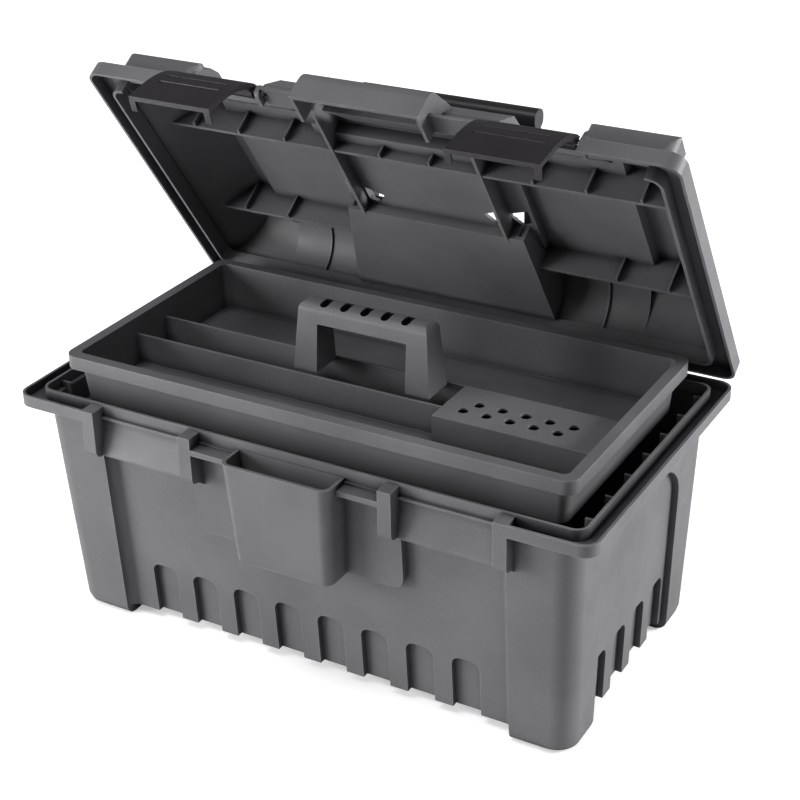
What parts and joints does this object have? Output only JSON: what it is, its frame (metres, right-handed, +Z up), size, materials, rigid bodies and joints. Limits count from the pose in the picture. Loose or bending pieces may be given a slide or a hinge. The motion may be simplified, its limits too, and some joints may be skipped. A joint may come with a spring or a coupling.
{
  "type": "carpenter toolbox",
  "caption": "Large moulded carpenter's toolbox with a hinged lid, lift-out tray, draw latches and a folding carry handle.",
  "frame": {"origin": "on the ground, under the middle of the open box's bounding box", "axes": "+X along the length, to the right seen from the latch side; +Y to the hinge side; +Z up"},
  "size_m": [0.565, 0.3547, 0.5114],
  "materials": {
    "body_plastic": "fine-grained satin",
    "black_plastic": "satin",
    "steel": "plain drawn rod"
  },
  "bodies": {
    "bin": {"bin": "body_plastic", "hinge_pin_left": "steel", "hinge_pin_right": "steel"},
    "lid": {"lid": "body_plastic", "latch_pin_left": "steel", "latch_pin_right": "steel"},
    "tray": {"tray": "body_plastic", "tray_handle": "body_plastic"},
    "latch_left": {"latch_left": "black_plastic"},
    "latch_right": {"latch_right": "black_plastic"},
    "carry_handle": {"carry_handle": "black_plastic"}
  },
  "joints": [
    {"name": "lid_hinge", "type": "hinge", "parent": "bin", "child": "lid", "pos_m": [0, 0.14679, 0.2303], "axis": [-1, 0, 0], "range_deg": [-55.67, 44]},
    {"name": "tray_lift", "type": "slide", "parent": "bin", "child": "tray", "axis": [0, 0, 1], "range_m": [-0.0578, 0.0462]},
    {"name": "latch_left_hinge", "type": "hinge", "parent": "lid", "child": "latch_left", "pos_m": [-0.15, -0.01064, 0.49043], "axis": [-1, 0, 0], "range_deg": [-28, 84]},
    {"name": "latch_right_hinge", "type": "hinge", "parent": "lid", "child": "latch_right", "pos_m": [0.15, -0.01064, 0.49043], "axis": [-1, 0, 0], "range_deg": [-28, 84]},
    {"name": "carry_handle_hinge", "type": "hinge", "parent": "lid", "child": "carry_handle", "pos_m": [0, 0.13766, 0.34952], "axis": [-1, 0, 0], "range_deg": [-33, 57]}
  ],
  "couplings": [
    {"joint": "tray_lift", "follows": "lid_hinge", "m_per_rad": 0.059385}
  ]
}
